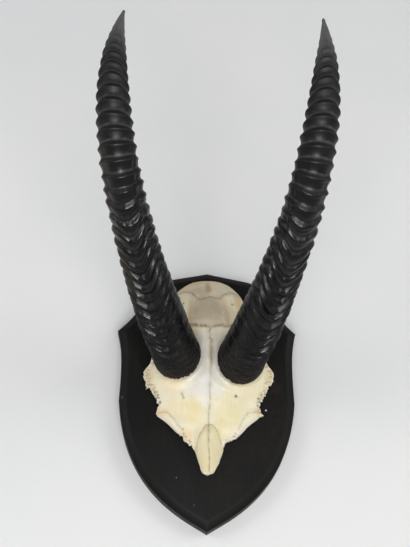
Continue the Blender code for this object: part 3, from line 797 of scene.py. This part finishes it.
def horn_material():
    """Black horn: satin rings, dull near the base, greyer and finely streaked towards the tip."""
    s = Shader("black_horn")
    along = s.attribute("along")
    fibre = s.attribute("fibre", "Vector")
    streaks = s.noise(1100, 3, 0.6, s.stretch(fibre, (1, 1, 0.06)))
    strands = s.noise(380, 3, 0.6, s.stretch(fibre, (1, 1, 0.12)))
    patches = s.noise(45, 4)
    tone = s.mix(s.span(patches, 0.4, 0.7), colour(21, 21, 22), colour(30, 29, 28))
    tone = s.mix(s.span(along, 0.24, 0.1), tone, colour(14, 14, 16))
    tone = s.mix(s.span(along, 0.42, 0.6, 0.0, 0.75), tone, colour(11, 11, 12))
    # Painted light: the pale strip on each ring's flank.
    wear_and_light_strip = s.math("MULTIPLY", s.attribute("wear_and_light_strip"), s.span(strands, 0.3, 0.7, 0.55, 1.0))
    tone = s.mix(wear_and_light_strip, tone, colour(60, 60, 60))
    soiled = s.math("MULTIPLY", s.attribute("soiled"), s.span(patches, 0.35, 0.6, 0.1, 0.7))
    tone = s.mix(soiled, tone, colour(58, 54, 43))
    tip = s.span(along, 0.82, 0.95)
    tone = s.mix(tip, tone, s.mix(s.span(streaks, 0.35, 0.65), colour(70, 71, 70), colour(102, 102, 99)))
    frayed = s.math("MULTIPLY", s.span(along, 0.016, 0.0), s.span(strands, 0.35, 0.6, 0.3, 1.0))
    tone = s.mix(frayed, tone, colour(66, 44, 32))
    # Painted shade: the grooves, furrows and folds are darkened almost to black.
    groove_shade = s.attribute("groove_shade")
    tone = s.mix(s.math("MULTIPLY", groove_shade, 0.9), tone, colour(7, 7, 7))
    dull = s.math("ADD", s.span(along, 0.04, 0.16, 0.26, 0.0), s.span(along, 0.12, 0.5, 0.06, 0.0))
    dull = s.math("ADD", dull, s.span(along, 0.45, 0.68, 0.0, 0.22))
    dull = s.math("ADD", dull, s.span(along, 0.66, 0.8, 0.0, 0.12))
    dull = s.math("ADD", dull, s.math("MULTIPLY", groove_shade, 0.25))
    rough = s.math("ADD", s.span(patches, 0.3, 0.7, 0.17, 0.25), dull)
    normal = s.bump(strands, 0.35 * MM, 0.5)
    normal = s.bump(streaks, 0.12 * MM, 0.5, normal)
    normal = s.bump(s.noise(900, 3, 0.6), 0.10 * MM, 0.35, normal)
    creases = s.noise(420, 4, 0.6, s.stretch(fibre, (0.3, 0.3, 1)), 0.8)
    creases = s.math("MULTIPLY", creases, s.span(along, 0.5, 0.25))
    normal = s.bump(creases, 1.1 * MM, 0.7, normal)
    rough_base = s.math("MULTIPLY", s.noise(420, 5, 0.7), s.span(along, 0.16, 0.04))
    normal = s.bump(rough_base, 0.9 * MM, 0.8, normal)
    s.set(base_color=tone, roughness=rough, normal=normal)
    s.surface.inputs["Specular IOR Level"].default_value = 0.22
    return s.material


def bezier(start, controls, end, steps):
    """Points on a cubic Bezier curve, without its end."""
    a, b, c, d = np.array([start, *controls, end], float)
    u = (np.arange(steps) / steps)[:, None]
    return list((1 - u) ** 3 * a + 3 * u * (1 - u) ** 2 * b + 3 * u * u * (1 - u) * c + u ** 3 * d)


def board_outline():
    """The board's outline, clockwise from the top point, in fine steps."""
    curves = (
        (BOARD_TOP, (BOARD_TOP, BOARD_EAR), BOARD_EAR),
        (BOARD_EAR, EAR_CURVE, BOARD_SHOULDER),
        (BOARD_SHOULDER, WAIST_CURVE, BOARD_BELLY),
        (BOARD_BELLY, LOWER_CURVE, BOARD_BOTTOM),
    )
    right = []
    for curve, steps in zip(curves, BOARD_STEPS):
        right += bezier(*curve, steps)
    right.append(np.array(BOARD_BOTTOM, float))
    left = [p * (-1, 1) for p in right[-2:0:-1]]
    return np.array(right + left)


def inset(outline, corners, distance):
    """The outline moved inward; points that would pass a corner's own place stop there."""
    before, after = np.roll(outline, 1, axis=0), np.roll(outline, -1, axis=0)

    def inward(step):
        length = np.linalg.norm(step, axis=1, keepdims=True)
        return np.stack([step[:, 1], -step[:, 0]], -1) / length

    first, second = inward(outline - before), inward(after - outline)
    middle = first + second
    middle /= np.linalg.norm(middle, axis=1, keepdims=True)
    scale = distance / (middle * first).sum(axis=1, keepdims=True)
    moved = outline + middle * scale
    for i in corners:
        half = math.acos(min(1.0, float((middle[i] * first[i]).sum())))
        reach = distance * math.tan(half)
        near = np.linalg.norm(outline - outline[i], axis=1) < reach + 1e-6
        moved[near] = moved[i]
    return moved


def round_corner(outline, index, distance):
    """Replaces the points near a corner by points on a small curve."""
    corner = outline[index]
    away = np.linalg.norm(outline - corner, axis=1)
    result = outline.copy()
    near = np.where(away < distance)[0]
    order = sorted(near, key=lambda i: (i - index + len(outline) // 2) % len(outline))
    start = outline[(order[0] - 1) % len(outline)]
    end = outline[(order[-1] + 1) % len(outline)]
    for place, i in enumerate(order):
        u = (place + 1) / (len(order) + 1)
        result[i] = (1 - u) ** 2 * start + 2 * u * (1 - u) * corner + u * u * end
    return result


def make_board():
    """The board, with softened edges."""
    outline = board_outline()
    count = len(outline)
    ear, shoulder, _, bottom = itertools.accumulate(BOARD_STEPS)
    ears = [ear, count - ear]
    sharp = [0, shoulder, bottom, count - shoulder]
    for i in ears:
        outline = round_corner(outline, i, EAR_ROUNDING * 1.3)
    top = BOARD_THICKNESS / MM
    wall = top - CHAMFER_DEPTH
    # Distance in from the outline, height, and how much the place belongs to the chamfer, where the material
    # paints a sheen.
    profile = (
        (1.1, 0.0, 0), (0.3, 0.3, 0), (0.0, 1.1, 0), (0.0, wall - 1.0, 0), (0.12, wall - 0.3, 0),
        (0.6, wall + 0.3, 0), (CHAMFER_WIDTH - 0.8, top - 0.45, 0.7), (CHAMFER_WIDTH, top - 0.14, 1),
        (CHAMFER_WIDTH + 1.0, top, 0),
    )
    vertices, chamfer_sheen = [], []
    for distance, z, share in profile:
        corners = sharp + ears if distance > 2 else sharp
        ring = inset(outline, corners, distance) if distance else outline
        vertices += [(x * MM, y * MM, z * MM) for x, y in ring]
        chamfer_sheen += [share] * count
    faces = []
    for level in range(len(profile) - 1):
        for i in range(count):
            j = (i + 1) % count
            a, b = level * count, (level + 1) * count
            faces.append((a + i, b + i, b + j, a + j))
    faces.append(tuple(range(count)))
    faces.append(tuple(range(len(vertices) - 1, len(vertices) - 1 - count, -1)))
    return make_piece("board", vertices, faces, board_material(), "shield", {"chamfer_sheen": np.array(chamfer_sheen)})


def board_material():
    """Black stained wood: a fine grain along the board, satin, rubbed brown in places, with painted sheen on
    the chamfer.
    """
    s = Shader("black_wood")
    grain = s.noise(260, 5, 0.65, s.stretch(s.place, (1, 0.05, 0.3)), 0.6)
    pores = s.noise(1500, 2, 0.5, s.stretch(s.place, (1, 0.09, 0.5)))
    cloud = s.noise(14, 4)
    tone = s.mix(s.span(grain, 0.3, 0.7), colour(11, 11, 11), colour(20, 19, 17))
    mottle = s.noise(150, 5, 0.7)
    rubbed = s.math("MULTIPLY", s.span(cloud, 0.48, 0.68), s.span(mottle, 0.42, 0.62, 0.1, 0.7))
    tone = s.mix(rubbed, tone, colour(33, 28, 23))
    tone = s.mix(s.span(s.noise(420, 5, 0.75), 0.45, 0.62, 0.0, 0.7), tone, colour(27, 25, 23))
    # Painted light: the chamfer is lighter, as if it caught the light.
    tone = s.mix(s.attribute("chamfer_sheen"), tone, colour(25, 25, 23))
    dust = s.math("MULTIPLY", s.span(s.noise(700, 3, 0.7), 0.72, 0.8), 0.4)
    tone = s.mix(dust, tone, colour(90, 86, 80))
    flat_place = s.stretch(s.place, (1, 1, 0))
    for centre, size, strength, shade in BOARD_MARKS:
        inputs = {0: flat_place, 1: (*(c * MM for c in centre), 0)}
        away = s.node("ShaderNodeVectorMath", inputs, operation="DISTANCE").outputs["Value"]
        spot = s.span(away, size * 1.15 * MM, size * 0.6 * MM, 0.0, strength)
        tone = s.mix(spot, tone, colour(*shade))
    normal = s.bump(grain, 0.18 * MM, 0.3)
    normal = s.bump(pores, 0.10 * MM, 0.4, normal)
    s.set(base_color=tone, roughness=s.span(cloud, 0.3, 0.7, 0.48, 0.6), normal=normal)
    s.surface.inputs["Specular IOR Level"].default_value = 0.13
    return s.material


def make_floor():
    """A plain pale floor."""
    mesh = bpy.data.meshes.new("floor")
    corners = [(x * FLOOR_REACH, y * FLOOR_REACH, 0) for x, y in ((-1, -1), (1, -1), (1, 1), (-1, 1))]
    mesh.from_pydata(corners, [], [(0, 1, 2, 3)])
    s = Shader("pale_floor")
    tone = s.mix(s.span(s.noise(2.5, 3), 0.35, 0.65), colour(227, 227, 227), colour(231, 231, 229))
    s.set(base_color=tone, roughness=0.65)
    mesh.materials.append(s.material)
    floor = bpy.data.objects.new("floor", mesh)
    floor.location = (0, 0, -FLOOR_DROP)
    bpy.context.collection.objects.link(floor)


def make_lights():
    """Broad soft lights in front and at the sides, and two that only show in reflections."""
    for name, light in LIGHTS.items():
        data = bpy.data.lights.new(name, "AREA")
        data.shape = "RECTANGLE"
        data.size, data.size_y = light["size"]
        data.energy = light["power"]
        lamp = bpy.data.objects.new(name, data)
        lamp.location = light["place"]
        towards = Vector(LIGHT_TARGET) - Vector(light["place"])
        lamp.rotation_euler = towards.to_track_quat("-Z", "Y").to_euler()
        lamp.visible_glossy = light["glossy"]
        lamp.visible_diffuse = light["diffuse"]
        bpy.context.collection.objects.link(lamp)


def make_surround():
    """A surround that is pale at the horizon and darker overhead."""
    world = bpy.data.worlds.new("surround")
    world.use_nodes = True
    nodes, links = world.node_tree.nodes, world.node_tree.links
    direction = nodes.new("ShaderNodeSeparateXYZ")
    links.new(nodes.new("ShaderNodeTexCoord").outputs["Generated"], direction.inputs[0])
    fade = nodes.new("ShaderNodeValToRGB")
    low, high = fade.color_ramp.elements
    low.color = SURROUND_LOW
    high.color = SURROUND_HIGH
    high.position = SURROUND_TOP
    links.new(direction.outputs["Z"], fade.inputs[0])
    links.new(fade.outputs[0], nodes["Background"].inputs["Color"])
    nodes["Background"].inputs["Strength"].default_value = SURROUND_STRENGTH
    bpy.context.scene.world = world


def make_camera():
    """The camera, at its place and with its three turns."""
    data = bpy.data.cameras.new("camera")
    data.lens = LENS
    camera = bpy.data.objects.new("camera", data)
    first, tilt, last = (math.radians(a) for a in CAMERA_TURNS)
    turn = Matrix.Rotation(first, 4, "Z") @ Matrix.Rotation(tilt, 4, "X") @ Matrix.Rotation(last, 4, "Z")
    camera.matrix_world = Matrix.Translation(CAMERA_PLACE) @ turn
    bpy.context.collection.objects.link(camera)
    bpy.context.scene.camera = camera


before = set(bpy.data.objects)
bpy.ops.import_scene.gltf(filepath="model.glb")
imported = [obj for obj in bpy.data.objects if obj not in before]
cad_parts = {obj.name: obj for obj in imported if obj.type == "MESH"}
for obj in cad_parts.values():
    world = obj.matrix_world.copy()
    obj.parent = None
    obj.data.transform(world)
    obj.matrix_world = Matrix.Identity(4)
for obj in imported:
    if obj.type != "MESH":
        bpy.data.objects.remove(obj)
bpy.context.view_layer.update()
make_camera()
make_lights()
make_surround()
make_floor()
make_board()
make_skull()
black_horn = horn_material()
for node, horn in HORNS.items():
    make_horn(node, horn, black_horn)
bpy.context.scene.view_settings.view_transform = "Standard"
